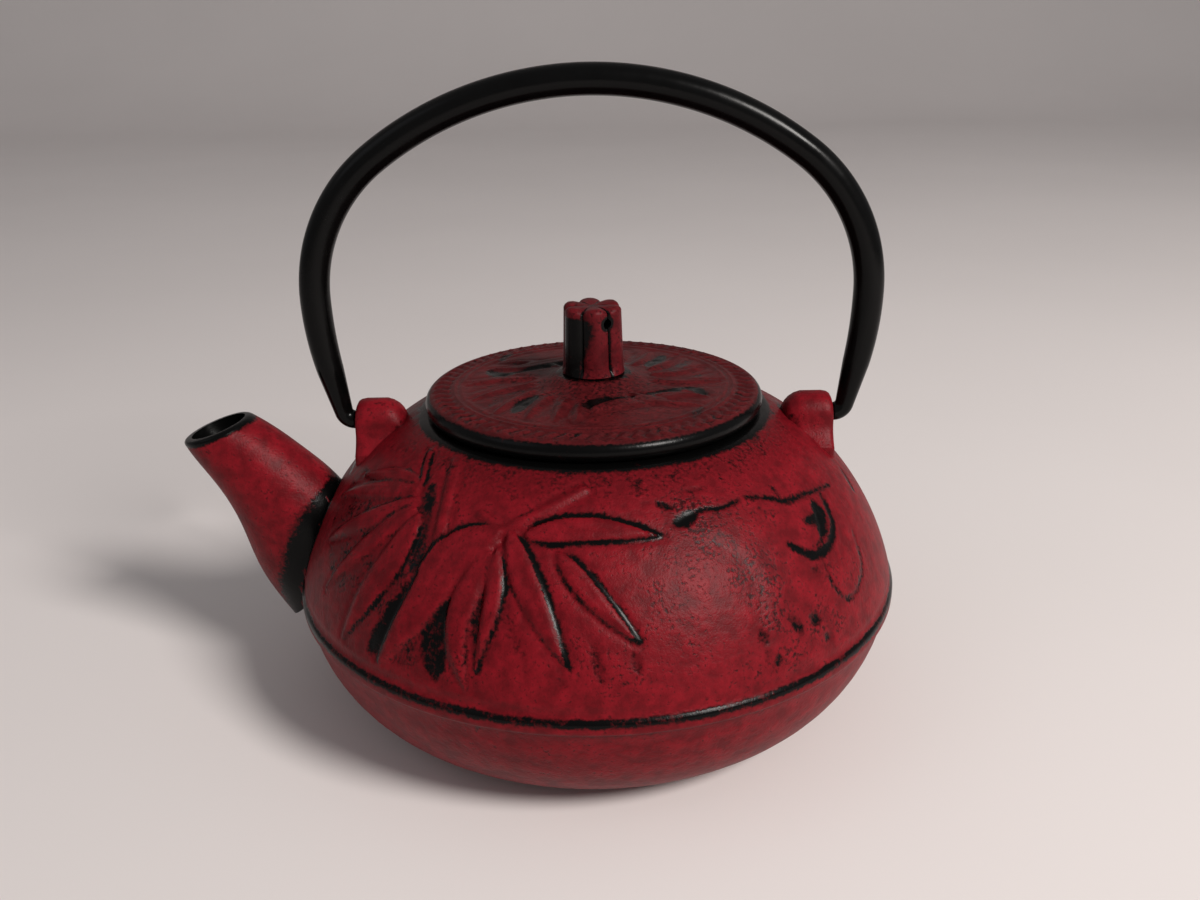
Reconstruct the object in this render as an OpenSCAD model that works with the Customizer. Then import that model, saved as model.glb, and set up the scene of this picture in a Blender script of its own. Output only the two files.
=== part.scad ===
// Small cast-iron teapot with a loose lid, a swinging bail handle and a
// stainless infuser basket. The pot stands on the XY plane with its axis on
// Z, the spout points along -X and the bail swings about an axis along X.

/* [Pot body] */
// Radius of the pot at its widest, where the dome's lip overhangs the bowl
belly_r = 59; // [56:0.5:64]
// Height of that widest line
lip_z = 24.8; // [23:0.1:28]
// Depth of the lip
lip_drop = 1.7; // [1.2:0.1:2.4]
// Chamfer under the lip
lip_chamfer = 0.9; // [0.4:0.1:1.1]
// Step from the dome out to the lip
lip_proud = 0.2; // [0.1:0.1:0.6]
// Overhang of the lip past the bowl
lip_overhang = 1.7; // [1.2:0.1:2.2]
// Height of the flat rim that the lid sits on
rim_z = 58.5; // [56:0.1:64]
// Radius of the rim
rim_r = 32.9; // [32:0.1:35]
// Radius of the dome's arc between the lip and the rim
dome_arc_r = 48; // [42:0.5:60]
// Radius of the flat foot
foot_r = 37; // [32:0.1:42]
// Thickness of the cast wall
wall = 3; // [2.4:0.1:4]
// Thickness of the metal round the mouth
mouth_wall = 4; // [3:0.1:5]
// Radius of the mouth
mouth_r = 27; // [25:0.1:28]
// Width of the ledge in the mouth that carries the infuser's collar
ledge = 2.5; // [2:0.1:3]

/* [Spout] */
// Reach of the spout's mouth beyond the belly
spout_reach = 15; // [12:0.1:20]
// Height of the spout's mouth above the belly's lip
spout_rise = 28.6; // [26:0.1:31]
// Lean of the spout's mouth away from level
spout_lean = 21.5; // [10:0.5:35]
// Outer radius of the spout at its mouth
spout_r = 7.2; // [6.5:0.1:8]
// Wall of the spout
spout_wall = 2.4; // [1.8:0.1:3]
// Reach of the spout's neck beyond the belly
neck_reach = 7.3; // [6:0.1:9]
// Height of the neck above the lip
neck_rise = 20; // [18.5:0.1:22]
// Outer radius of the neck
neck_r = 8.3; // [7.8:0.1:9]
// Reach of the spout's full root beyond the belly
root_reach = 2; // [0:0.1:3]
// Height of the full root above the lip
root_rise = 11.7; // [10:0.1:13]
// Outer radius of the full root
root_r = 10.5; // [9.5:0.1:11.5]
// Reach of the spout's heel, low on the belly, beyond the belly
heel_reach = 0.5; // [-1:0.1:1.5]
// Drop of the heel below the lip
heel_drop = 0.3; // [0:0.1:2]
// Outer radius of the heel
heel_r = 9; // [8:0.1:9.5]

/* [Ears] */
// Distance of the ears' outer faces from the pot's axis
ear_x = 46.3; // [44.5:0.1:48]
// Length of an ear along the bail's pin
ear_len = 9.5; // [8.5:0.1:11]
// Radius of an ear round the bail's pin
ear_r = 4.2; // [3.8:0.1:5]
// Half width of an ear where it stands on the shoulder
ear_foot = 6; // [5:0.1:8]
// Depth of the blind bore for the bail's pin
ear_bore_depth = 6.8; // [5:0.1:7.5]
// Drop of the bail's swinging axis below the rim
pivot_drop = 2.5; // [1:0.1:3.5]

/* [Bail] */
// Thickness of the bail's round bar
bail_d = 5.7; // [4.5:0.1:6.5]
// Height of the bail's widest place above its axis
bail_shoulder = 24; // [20:0.5:28]
// Rise of the bail from its widest place to its crown, to the middle of the bar
bail_rise = 38.7; // [36:0.1:44]
// Radius of the bail's tight side curves
bail_side_r = 32; // [26:0.5:34]
// Radius of the bail's slow inward curve below its widest place
bail_leg_r = 70; // [60:1:90]
// Height above the axis at which the bail starts to taper
bail_taper = 10; // [8:0.5:13]
// Thickness of the bail at its tapered ends
bail_end_d = 3.6; // [3.4:0.1:4.5]
// Gap between the bail's ends and the ears
bail_gap = 0.5; // [0.3:0.1:0.9]
// Thickness of the bail's pins
pin_d = 3; // [2.4:0.1:3.2]
// Gap all round a pin in its bore
pin_gap = 0.08; // [0.05:0.01:0.1]
// Gap between a pin's end and the bottom of its bore
pin_end_gap = 0.4; // [0.3:0.1:0.8]

/* [Lid] */
// Set-back of the lid's edge from the pot's rim
lid_inset = 0.4; // [0:0.1:1]
// Thickness of the lid at its edge
lid_edge = 3.9; // [3.4:0.1:4.4]
// Rise of the lid from its edge to its middle
lid_rise = 1.1; // [0.6:0.1:2]
// Width of the level ring round the knob's foot
boss_margin = 2; // [1:0.1:4]
// Depth of the lid's locating flange
flange_depth = 5; // [3:0.1:7]
// Thickness of that flange
flange_wall = 2; // [1.5:0.1:3]
// Gap between the flange and the infuser's wall
flange_gap = 0.5; // [0.3:0.1:1]

/* [Knob] */
// Height of the knob above the lid
knob_h = 15.4; // [12:0.1:18]
// Radius of the knob at its base
knob_base_r = 6; // [5:0.1:6.8]
// Radius of the knob at its top
knob_top_r = 5.4; // [4.6:0.1:6]
// Number of upright flutes round the knob
flutes = 6; // [4:1:8]
// Radius of a flute
flute_r = 1.1; // [0.8:0.1:1.4]
// Radius of the hole across the knob
knob_hole_r = 0.9; // [0.6:0.1:1.2]
// Height of that hole above the lid
knob_hole_rise = 12.6; // [9:0.1:13.2]
// Direction of that hole, turned from the front towards the handle side
knob_hole_turn = 32; // [0:1:60]
// Radius of the tenon that holds the knob
tenon_r = 2.5; // [2:0.1:3]
// Gap all round the tenon in the lid
tenon_gap = 0.05; // [0.03:0.01:0.1]
// Radius of the washer under the lid
washer_r = 5.5; // [4.8:0.1:7]
// Thickness of that washer
washer_t = 1; // [0.6:0.1:1.6]
// Radius of the tenon's peened head
peen_r = 3.6; // [3.2:0.1:4.2]
// Height of that head
peen_h = 1.3; // [0.8:0.1:2]

/* [Infuser] */
// Thickness of the collar's sheet
collar_t = 0.8; // [0.6:0.1:1]
// Gap between the collar and the wall of its recess
collar_gap = 0.3; // [0.2:0.1:0.6]
// Gap between the collar and the lid above it
collar_top_gap = 0.4; // [0.3:0.1:0.8]
// Length of the sleeve that holds the mesh
sleeve_h = 6; // [4:0.1:9]
// Gap between the sleeve and the wall of the mouth
sleeve_gap = 0.6; // [0.3:0.1:1]
// Depth of the basket below its collar
basket_depth = 32; // [22:0.5:45]
// Thickness of the mesh
mesh_t = 0.4; // [0.3:0.1:0.6]
// Height of the band round the basket's floor
band_h = 4; // [3:0.1:8]
// Width of the band's lip under the floor
band_lip = 3; // [2:0.1:5]

/* [Hidden] */
$fn = 96;
// Longer than anything in the model
far = 300;
// Balls that join round bars stand this much proud of them
ball_proud = 0.1;

// The dome's arc runs from just inside the lip to the rim's edge
dome_r = belly_r - lip_proud;
dome_chord = [rim_r - dome_r, rim_z - lip_z];
dome_sag = sqrt(pow(dome_arc_r, 2) - pow(norm(dome_chord) / 2, 2)) / norm(dome_chord);
dome_x = (rim_r + dome_r) / 2 - dome_chord[1] * dome_sag;
dome_z = (rim_z + lip_z) / 2 + dome_chord[0] * dome_sag;

// The bowl's arc is upright at the foot of the lip and ends at the foot's edge
bowl_z = lip_z - lip_drop;
bowl_top_r = belly_r - lip_overhang;
bowl_x = (pow(bowl_top_r, 2) - pow(foot_r, 2) - pow(bowl_z, 2)) / (2 * (bowl_top_r - foot_r));
bowl_arc_r = bowl_top_r - bowl_x;

// Hollow of the pot and the recess in its mouth
cavity_top = rim_z - mouth_wall;
recess_r = mouth_r + ledge;
collar_z = rim_z - collar_t - collar_top_gap;

// The ears reach down through the dome's skin into the cast wall
pivot_z = rim_z - pivot_drop;
ear_root_z = dome_z + sqrt(pow(dome_arc_r, 2) - pow(ear_x - dome_x, 2)) - 2 * wall;

// Spout as round stations of [distance from the axis, height, outer radius],
// from past its mouth down to its heel
spout_mouth = [belly_r + spout_reach, lip_z + spout_rise];
spout_neck = [belly_r + neck_reach, lip_z + neck_rise];
spout_root = [belly_r + root_reach, lip_z + root_rise];
spout_heel = [belly_r + heel_reach, lip_z - heel_drop];
spout_past = spout_mouth + spout_r * (spout_mouth - spout_neck) / norm(spout_mouth - spout_neck);
spout_stations = [[spout_past, spout_r], [spout_neck, neck_r], [spout_root, root_r], [spout_heel, heel_r]];
// The channel leaves the full root, sinks, narrows and ends inside the pot
channel_end = spout_root - [root_r + wall, 2 * wall];
channel_stations = [[spout_past, spout_r], [spout_neck, neck_r], [spout_root, root_r], [channel_end, root_r - wall]];

// The bail's three arcs meet at a tangent
bail_leg_turn = asin((bail_shoulder - bail_taper) / bail_leg_r);
bail_end_x = ear_x + bail_gap + bail_end_d / 2 + ball_proud;
bail_taper_x = bail_end_x + bail_taper * tan(bail_leg_turn);
bail_half_w = bail_taper_x + bail_leg_r * (1 - cos(bail_leg_turn));
bail_crown_r = (pow(bail_half_w - bail_side_r, 2) + pow(bail_rise, 2) - pow(bail_side_r, 2))
    / (2 * (bail_rise - bail_side_r));
widest_z = pivot_z + bail_shoulder;
bail_turn = atan2(bail_crown_r - bail_rise, bail_half_w - bail_side_r);
pin_len = ear_bore_depth - pin_end_gap + bail_end_x - ear_x;

lid_r = rim_r - lid_inset;
lid_top = rim_z + lid_edge;
knob_z = lid_top + lid_rise;
washer_z = rim_z - washer_t;

basket_r = mouth_r - sleeve_gap - collar_t;
basket_z = collar_z - basket_depth;
flange_r = basket_r - mesh_t - flange_gap;

// Flat ring
module ring(r_out, r_in, h) {
    difference() {
        cylinder(r = r_out, h = h);
        translate([0, 0, -h]) cylinder(r = r_in, h = 3 * h);
    }
}

// Half profile of an arc's disc, kept between two heights
module arc_slice(x, z, r, low, high) {
    intersection() {
        translate([x, z]) circle(r = r);
        translate([0, low]) square([far, high - low]);
    }
}

// Rounded bowl, dome and overhanging lip of the casting
module pot_outside() {
    rotate_extrude() {
        arc_slice(dome_x, dome_z, dome_arc_r, lip_z, rim_z);
        arc_slice(bowl_x, bowl_z, bowl_arc_r, 0, bowl_z);
        square([bowl_x, bowl_z]);
        polygon([
            [0, lip_z], [belly_r, lip_z], [belly_r, bowl_z + lip_chamfer],
            [belly_r - lip_chamfer, bowl_z], [0, bowl_z],
        ]);
    }
}

// Hollow that holds the water, with the mouth above it
module pot_inside() {
    step_z = lip_z + lip_drop;
    rotate_extrude() {
        arc_slice(dome_x, dome_z, dome_arc_r - wall, step_z, cavity_top);
        arc_slice(bowl_x, bowl_z, bowl_arc_r - wall, wall, step_z);
        translate([0, wall]) square([bowl_x, step_z - wall]);
    }
    cylinder_up(mouth_r, cavity_top - 1);
    cylinder_up(recess_r, collar_z);
}

// Cutter that runs up from a height past the rim
module cylinder_up(r, low) {
    translate([0, 0, low]) cylinder(r = r, h = rim_z + 1 - low);
}

// Cones and balls that run through a list of stations, thinner by an inset
module spout_run(stations, inset = 0) {
    for (i = [0:len(stations) - 2]) {
        start = stations[i][0];
        step = stations[i + 1][0] - start;
        translate([-start[0], 0, start[1]])
            rotate([0, atan2(-step[0], step[1]), 0])
                cylinder(r1 = stations[i][1] - inset, r2 = stations[i + 1][1] - inset, h = norm(step));
    }
    for (station = [for (i = [1:len(stations) - 1]) stations[i]]) {
        translate([-station[0][0], 0, station[0][1]]) sphere(r = station[1] - inset + ball_proud);
    }
}

// Spout with its mouth cut off at a lean
module spout_outside() {
    difference() {
        spout_run(spout_stations);
        translate([-spout_mouth[0], 0, spout_mouth[1]])
            rotate([0, -spout_lean, 0])
                translate([-far / 2, -far / 2, 0]) cube(far);
    }
}

// Rounded lug that stands on the shoulder and holds one pin of the bail
module ear() {
    translate([ear_x - ear_len, 0, pivot_z])
        rotate([90, 0, 90])
            linear_extrude(ear_len) {
                circle(r = ear_r);
                polygon([
                    [-ear_foot, ear_root_z - pivot_z], [ear_foot, ear_root_z - pivot_z],
                    [ear_r, 0], [-ear_r, 0],
                ]);
            }
}

module ear_bore() {
    translate([ear_x - ear_bore_depth, 0, pivot_z])
        rotate([0, 90, 0])
            cylinder(r = pin_d / 2 + pin_gap, h = ear_bore_depth + 1);
}

// Both mirrored copies of a piece that lies on the +X side
module both_sides() {
    children();
    mirror([1, 0, 0]) children();
}

// Pot, spout and ears are one casting
module pot_body() {
    color("#8a121c")
    difference() {
        union() {
            pot_outside();
            spout_outside();
            both_sides() ear();
        }
        pot_inside();
        spout_run(channel_stations, spout_wall);
        both_sides() ear_bore();
    }
}

// Plate with a rounded edge, a gently raised top and a locating flange
module lid() {
    color("#8a121c")
    difference() {
        union() {
            rotate_extrude() {
                translate([lid_r - lid_edge / 2, rim_z + lid_edge / 2]) circle(r = lid_edge / 2);
                translate([0, rim_z]) square([lid_r - lid_edge / 2, lid_edge]);
            }
            translate([0, 0, lid_top])
                cylinder(r1 = lid_r - lid_edge / 2, r2 = knob_base_r + boss_margin, h = lid_rise);
            translate([0, 0, rim_z - flange_depth]) ring(flange_r, flange_r - flange_wall, flange_depth + 1);
        }
        translate([0, 0, rim_z - 1]) cylinder(r = tenon_r + tenon_gap, h = knob_z - rim_z + 2);
    }
}

// Fluted knob whose tenon passes through the lid and is peened over a washer
module knob() {
    color("#7a1019") {
        difference() {
            translate([0, 0, knob_z]) cylinder(r1 = knob_base_r, r2 = knob_top_r, h = knob_h);
            for (i = [0:flutes - 1]) {
                rotate([0, 0, i * 360 / flutes])
                    translate([knob_top_r + flute_r / 2, 0, knob_z + 1.5]) cylinder(r = flute_r, h = knob_h);
            }
            translate([0, 0, knob_z + knob_hole_rise])
                rotate([90, 0, knob_hole_turn])
                    translate([0, 0, -far / 2]) cylinder(r = knob_hole_r, h = far);
        }
        translate([0, 0, washer_z]) cylinder(r = tenon_r, h = knob_z - washer_z + 0.5);
        translate([0, 0, washer_z - peen_h]) cylinder(r = peen_r, h = peen_h);
    }
}

module knob_washer() {
    color("silver")
    translate([0, 0, washer_z]) ring(washer_r, tenon_r + tenon_gap, washer_t);
}

// One arc of round bar in the XZ plane, about a centre, between two angles.
// It stops just short of both, inside the balls that join the arcs.
module bar_arc(x, z, r, start, end) {
    short = 0.3 * 180 / (PI * r);
    translate([x, 0, z])
        rotate([90, 0, 0])
            rotate([0, 0, start + short])
                rotate_extrude(angle = end - start - 2 * short)
                    translate([r, 0]) circle(d = bail_d);
}

module bar_ball(x, z, d) {
    translate([x, 0, z]) sphere(d = d + 2 * ball_proud);
}

// Side of the bail below its crown: side curve, inward leg, taper and pin
module bail_side() {
    side_x = bail_half_w - bail_side_r;
    bar_ball(side_x + bail_side_r * cos(bail_turn), widest_z + bail_side_r * sin(bail_turn), bail_d);
    bar_arc(side_x, widest_z, bail_side_r, 0, bail_turn);
    bar_ball(bail_half_w, widest_z, bail_d);
    bar_arc(bail_half_w - bail_leg_r, widest_z, bail_leg_r, -bail_leg_turn, 0);
    bar_ball(bail_taper_x, pivot_z + bail_taper, bail_d);
    translate([bail_taper_x, 0, pivot_z + bail_taper])
        rotate([0, 180 + bail_leg_turn, 0])
            cylinder(d1 = bail_d, d2 = bail_end_d, h = bail_taper / cos(bail_leg_turn));
    bar_ball(bail_end_x, pivot_z, bail_end_d);
    translate([bail_end_x - pin_len, 0, pivot_z])
        rotate([0, 90, 0]) cylinder(d = pin_d, h = pin_len);
}

module bail() {
    color("#15110f") {
        bar_arc(0, widest_z + bail_rise - bail_crown_r, bail_crown_r, bail_turn, 180 - bail_turn);
        both_sides() bail_side();
    }
}

// Flat collar that hangs in the recess, with the sleeve that holds the mesh
module infuser_collar() {
    color("silver") {
        translate([0, 0, collar_z]) ring(recess_r - collar_gap, basket_r - mesh_t, collar_t);
        translate([0, 0, collar_z - sleeve_h]) ring(basket_r + collar_t, basket_r, sleeve_h);
    }
}

module infuser_wall() {
    color("gainsboro")
    translate([0, 0, basket_z]) ring(basket_r, basket_r - mesh_t, basket_depth);
}

module infuser_floor() {
    color("gainsboro")
    translate([0, 0, basket_z]) cylinder(r = basket_r - mesh_t, h = mesh_t);
}

// Band crimped round the foot of the mesh, with a lip under its floor
module infuser_band() {
    color("silver") {
        translate([0, 0, basket_z]) ring(basket_r + mesh_t, basket_r, band_h);
        translate([0, 0, basket_z - mesh_t]) ring(basket_r + mesh_t, basket_r - band_lip, mesh_t);
    }
}

pot_body();
lid();
knob();
knob_washer();
bail();
infuser_collar();
infuser_wall();
infuser_floor();
infuser_band();
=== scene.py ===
import math

import bpy
import numpy as np
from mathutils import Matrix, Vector
from mathutils.bvhtree import BVHTree


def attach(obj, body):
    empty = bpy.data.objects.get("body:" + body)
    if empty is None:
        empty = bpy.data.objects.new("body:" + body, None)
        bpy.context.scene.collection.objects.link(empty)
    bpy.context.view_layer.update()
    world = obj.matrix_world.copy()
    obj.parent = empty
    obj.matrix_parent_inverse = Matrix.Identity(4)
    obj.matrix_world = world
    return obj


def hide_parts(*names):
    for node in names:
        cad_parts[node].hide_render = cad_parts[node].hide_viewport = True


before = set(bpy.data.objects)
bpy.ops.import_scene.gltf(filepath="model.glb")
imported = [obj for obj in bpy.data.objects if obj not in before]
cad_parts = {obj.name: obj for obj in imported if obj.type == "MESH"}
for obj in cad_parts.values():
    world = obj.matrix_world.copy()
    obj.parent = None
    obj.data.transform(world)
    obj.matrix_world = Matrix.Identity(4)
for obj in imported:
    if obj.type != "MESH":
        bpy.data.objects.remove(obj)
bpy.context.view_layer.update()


# ---------------------------------------------------------------------------
# Pot: one iron casting of bowl, overhanging lip, domed shoulder, spout and two
# ears. It is cast in sand, bored for the bail's pins, coated black all over and
# then dabbed with deep red enamel outside, which leaves black in every crevice.
# ---------------------------------------------------------------------------
MM = 0.001
LIP_Z = 24.8
DOME = (12.0, 15.3, 48.0)
BOWL = (34.0, 23.1, 23.3)
WALL = 3.0
RIM_Z = 58.5
RECESS_R = 29.5
RECESS_Z = 57.3
MOUTH_R = 27.0
MOUTH_Z = 54.5


def clear_selection():
    if bpy.context.mode != "OBJECT":
        bpy.ops.object.mode_set(mode="OBJECT")
    bpy.ops.object.select_all(action="DESELECT")


def take(name):
    """The primitive that was just added, named, with its place moved into its mesh."""
    piece = bpy.context.active_object
    piece.name = name
    piece.data.name = name
    bpy.ops.object.transform_apply(location=True, rotation=True, scale=True)
    return piece


def choose(*pieces):
    """Only these pieces are selected, and the first is active."""
    clear_selection()
    for piece in pieces:
        piece.select_set(True)
    bpy.context.view_layer.objects.active = pieces[0]


def edit(piece):
    """Only this piece is selected, and it is open for editing with nothing selected."""
    choose(piece)
    bpy.ops.object.mode_set(mode="EDIT")
    bpy.ops.mesh.select_all(action="DESELECT")


def pick(piece, part, test):
    """Select the open piece's vertices, edges or faces whose place and normal pass a test."""
    bpy.ops.mesh.select_mode(type={"vertices": "VERT", "edges": "EDGE", "polygons": "FACE"}[part])
    bpy.ops.mesh.select_all(action="DESELECT")
    bpy.ops.object.mode_set(mode="OBJECT")
    for item in getattr(piece.data, part):
        if part == "vertices":
            item.select = bool(test(item.co / MM, item.normal))
        elif part == "polygons":
            item.select = bool(test(item.center / MM, item.normal))
        else:
            ends = [piece.data.vertices[i].co / MM for i in item.vertices]
            item.select = bool(test(*ends))
    bpy.ops.object.mode_set(mode="EDIT")


def turned(name, section, steps):
    """A section drawn point by point, as (radius, height) in mm, and turned about the upright axis."""
    clear_selection()
    r, z = section[0]
    bpy.ops.mesh.primitive_plane_add(size=MM, location=(r * MM, 0, z * MM))
    piece = take(name)
    bpy.ops.object.mode_set(mode="EDIT")
    bpy.ops.mesh.select_mode(type="VERT")
    bpy.ops.mesh.select_all(action="SELECT")
    bpy.ops.mesh.merge(type="CENTER")
    for (r0, z0), (r1, z1) in zip(section, section[1:]):
        step = ((r1 - r0) * MM, 0, (z1 - z0) * MM)
        bpy.ops.mesh.extrude_vertices_move(TRANSFORM_OT_translate={"value": step})
    bpy.ops.mesh.select_all(action="SELECT")
    bpy.ops.mesh.spin(steps=steps, angle=2 * math.pi, center=(0, 0, 0), axis=(0, 0, 1))
    bpy.ops.mesh.select_all(action="SELECT")
    bpy.ops.mesh.remove_doubles(threshold=2e-6)
    bpy.ops.mesh.normals_make_consistent(inside=False)
    bpy.ops.object.mode_set(mode="OBJECT")
    return piece


def arc(centre, start, end, steps):
    """Points on an arc of (r, z, radius), between two angles in degrees."""
    r, z, radius = centre
    turns = [math.radians(start + (end - start) * i / steps) for i in range(steps + 1)]
    return [(r + radius * math.cos(t), z + radius * math.sin(t)) for t in turns]


def angle_at(centre, height):
    return math.degrees(math.asin((height - centre[1]) / centre[2]))


def finish_with(piece, kind, **settings):
    """Add a modifier to the piece and apply it."""
    choose(piece)
    modifier = piece.modifiers.new(kind.title(), kind)
    for key, value in settings.items():
        setattr(modifier, key, value)
    bpy.ops.object.modifier_apply(modifier=modifier.name)


def combine(piece, tool, operation):
    """Weld a tool piece on, or cut it away, and remove it."""
    finish_with(piece, "BOOLEAN", operation=operation, object=tool, solver="EXACT")
    bpy.data.objects.remove(tool)


def inner(centre, depth):
    return centre[0], centre[1], centre[2] - depth


CARVED_Z = LIP_Z + 3.1
lip_start = angle_at(DOME, CARVED_Z + 0.1)
rim_end = angle_at(DOME, RIM_Z)
section = [(0, 0.8), (16, 0.8), (33.4, 0.8), (34, 0.6), (34.5, 0)]
section += [(r + 1.1 * (z / 23.1) ** 3, z) for r, z in arc(BOWL, angle_at(BOWL, 0.0), -1, 15)]
section += [(58.6, 23.15), (58.95, 23.35), (59.15, 23.7), (59.2, 24.2), (59.2, LIP_Z), (59.2, 25.2)]
section += [(59.12, 25.5), (58.97, 25.75), (58.75, 26), (58.52, 26.3), (58.37, 26.65)]
section += [(58.28, 27.05), (58.26, 27.5)]
section += arc(DOME, lip_start, rim_end - 0.6, 34)
section += [(32.7, 58.45), (32.3, RIM_Z), (30.2, RIM_Z), (RECESS_R + 0.2, 58.4), (RECESS_R, 58.1)]
section += [(RECESS_R, RECESS_Z), (MOUTH_R + 0.3, RECESS_Z), (MOUTH_R, RECESS_Z - 0.3), (MOUTH_R, MOUTH_Z)]
section += arc(inner(DOME, WALL), angle_at(inner(DOME, WALL), MOUTH_Z), angle_at(inner(DOME, WALL), 26.5), 12)
section += arc(inner(BOWL, WALL), 0, -80, 9)
section += [(34, WALL), (16, WALL), (0, WALL)]
pot = turned("pot_casting", section, 240)

# The ears: a round-topped lug each, with softened ends, widening into the shoulder
EAR_X = (36.8, 46.3)
PIVOT_Z = 56.0
EAR_R = 4.2
EAR_DEPTH = 9.0
clear_selection()
bpy.ops.mesh.primitive_circle_add(
    vertices=64, radius=EAR_R * MM, fill_type="NOTHING", location=(EAR_X[0] * MM, 0, PIVOT_Z * MM),
    rotation=(math.pi / 2, 0, math.pi / 2),
)
ear = take("ear")
for vertex in ear.data.vertices:
    y, z = vertex.co.y / MM, vertex.co.z / MM - PIVOT_Z
    if z < -0.01:
        drop = min(math.degrees(math.asin(-z / EAR_R)) / 70, 1) * EAR_DEPTH
        flank = EAR_R + 0.11 * min(drop, 5) ** 2
        across = flank if drop < EAR_DEPTH else flank * abs(y) / (EAR_R * math.cos(math.radians(70)))
        vertex.co.y = math.copysign(min(across, flank), y) * MM if abs(y) > 0.01 else 0
        vertex.co.z = (PIVOT_Z - drop) * MM
EAR_RINGS = (
    (0, 0.72), (0.25, 0.79), (0.7, 0.86), (1.4, 0.92), (2.4, 0.97), (3.6, 1.0), (5.6, 1.0), (7.6, 1.0),
    (8.6, 0.985), (9.1, 0.96), (9.4, 0.92), (9.5, 0.88),
)
edit(ear)
bpy.ops.mesh.select_all(action="SELECT")
ear_foot = (PIVOT_Z - EAR_DEPTH) * MM
bpy.ops.transform.resize(value=(1, EAR_RINGS[0][1], EAR_RINGS[0][1]), center_override=(0, 0, ear_foot))
bpy.ops.mesh.edge_face_add()
for (x0, size0), (x1, size1) in zip(EAR_RINGS, EAR_RINGS[1:]):
    bpy.ops.mesh.extrude_region_move(TRANSFORM_OT_translate={"value": ((x1 - x0) * MM, 0, 0)})
    bpy.ops.transform.resize(value=(1, size1 / size0, size1 / size0), center_override=(0, 0, ear_foot))
bpy.ops.mesh.select_all(action="SELECT")
bpy.ops.mesh.normals_make_consistent(inside=False)
bpy.ops.object.mode_set(mode="OBJECT")
choose(ear)
bpy.ops.object.duplicate()
far_ear = bpy.context.active_object
bpy.ops.transform.rotate(value=math.pi, orient_axis="Z", center_override=(0, 0, 0))
bpy.ops.object.transform_apply(location=True, rotation=True, scale=True)


# The spout: rings of (upper point, lower point, half width), from mouth to root
def lofted(name, rings, sides):
    clear_selection()
    made = []
    for (x0, z0), (x1, z1), half_width in rings:
        bpy.ops.mesh.primitive_circle_add(
            vertices=sides, radius=MM, fill_type="NOTHING",
            location=((x0 + x1) / 2 * MM, 0, (z0 + z1) / 2 * MM),
        )
        ring = bpy.context.active_object
        ring.rotation_euler = (0, -math.atan2(z0 - z1, x0 - x1), 0)
        ring.scale = (math.hypot(x0 - x1, z0 - z1) / 2, half_width, 1)
        made.append(ring)
    choose(*made)
    bpy.ops.object.transform_apply(location=True, rotation=True, scale=True)
    bpy.ops.object.join()
    tube = take(name)
    edit(tube)
    bpy.ops.mesh.select_all(action="SELECT")
    bpy.ops.mesh.bridge_edge_loops()
    bpy.ops.object.mode_set(mode="OBJECT")
    return tube


def cap_ends(tube):
    edit(tube)
    bpy.ops.mesh.select_all(action="SELECT")
    bpy.ops.mesh.region_to_loop()
    bpy.ops.mesh.edge_face_add()
    bpy.ops.mesh.select_all(action="SELECT")
    bpy.ops.mesh.normals_make_consistent(inside=False)
    bpy.ops.object.mode_set(mode="OBJECT")


SPOUT = [
    ((-67.9, 57.1), (-80.9, 52.8), 7.0),
    ((-65.4, 55.7), (-79.3, 49.4), 7.2),
    ((-62.0, 53.2), (-76.5, 45.2), 7.6),
    ((-57.8, 49.4), (-73.6, 40.2), 8.3),
    ((-53.0, 45.0), (-71.2, 33.6), 9.3),
    ((-48.5, 39.0), (-69.4, 24.0), 9.9),
    ((-46.0, 32.0), (-63.5, 14.2), 9.2),
]
spout = lofted("spout", SPOUT, 32)
finish_with(spout, "SUBSURF", levels=2, render_levels=2)
cap_ends(spout)
mouth_lean = math.atan2(SPOUT[0][0][1] - SPOUT[0][1][1], SPOUT[0][0][0] - SPOUT[0][1][0])
mouth_middle = Vector((-74.4, 0, 54.95))
mouth_normal = Vector((-math.sin(mouth_lean), 0, math.cos(mouth_lean)))


def at_mouth(a, b):
    return abs((a - mouth_middle).dot(mouth_normal)) < 0.2 and abs((b - mouth_middle).dot(mouth_normal)) < 0.2


edit(spout)
pick(spout, "edges", at_mouth)
bpy.ops.mesh.bevel(offset=0.7 * MM, segments=3, affect="EDGES")
bpy.ops.object.mode_set(mode="OBJECT")

choose(spout, ear, far_ear)
bpy.ops.object.join()
core_section = [(0, 1.5)] + arc(inner(BOWL, 1.5), angle_at(inner(BOWL, 1.5), 1.6), 0, 12)
core_section += arc(inner(DOME, 1.5), angle_at(inner(DOME, 1.5), 24.8), angle_at(inner(DOME, 1.5), 56.9), 14)
core_section += [(0, 56.9)]
combine(spout, turned("core", core_section, 160), "DIFFERENCE")


def surface_of(piece):
    """The piece's surface as it is now, to measure distances to it later."""
    piece.data.calc_loop_triangles()
    return BVHTree.FromPolygons(
        [v.co.copy() for v in piece.data.vertices], [tuple(t.vertices) for t in piece.data.loop_triangles],
    )


added_surface = surface_of(spout)
combine(pot, spout, "UNION")

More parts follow.
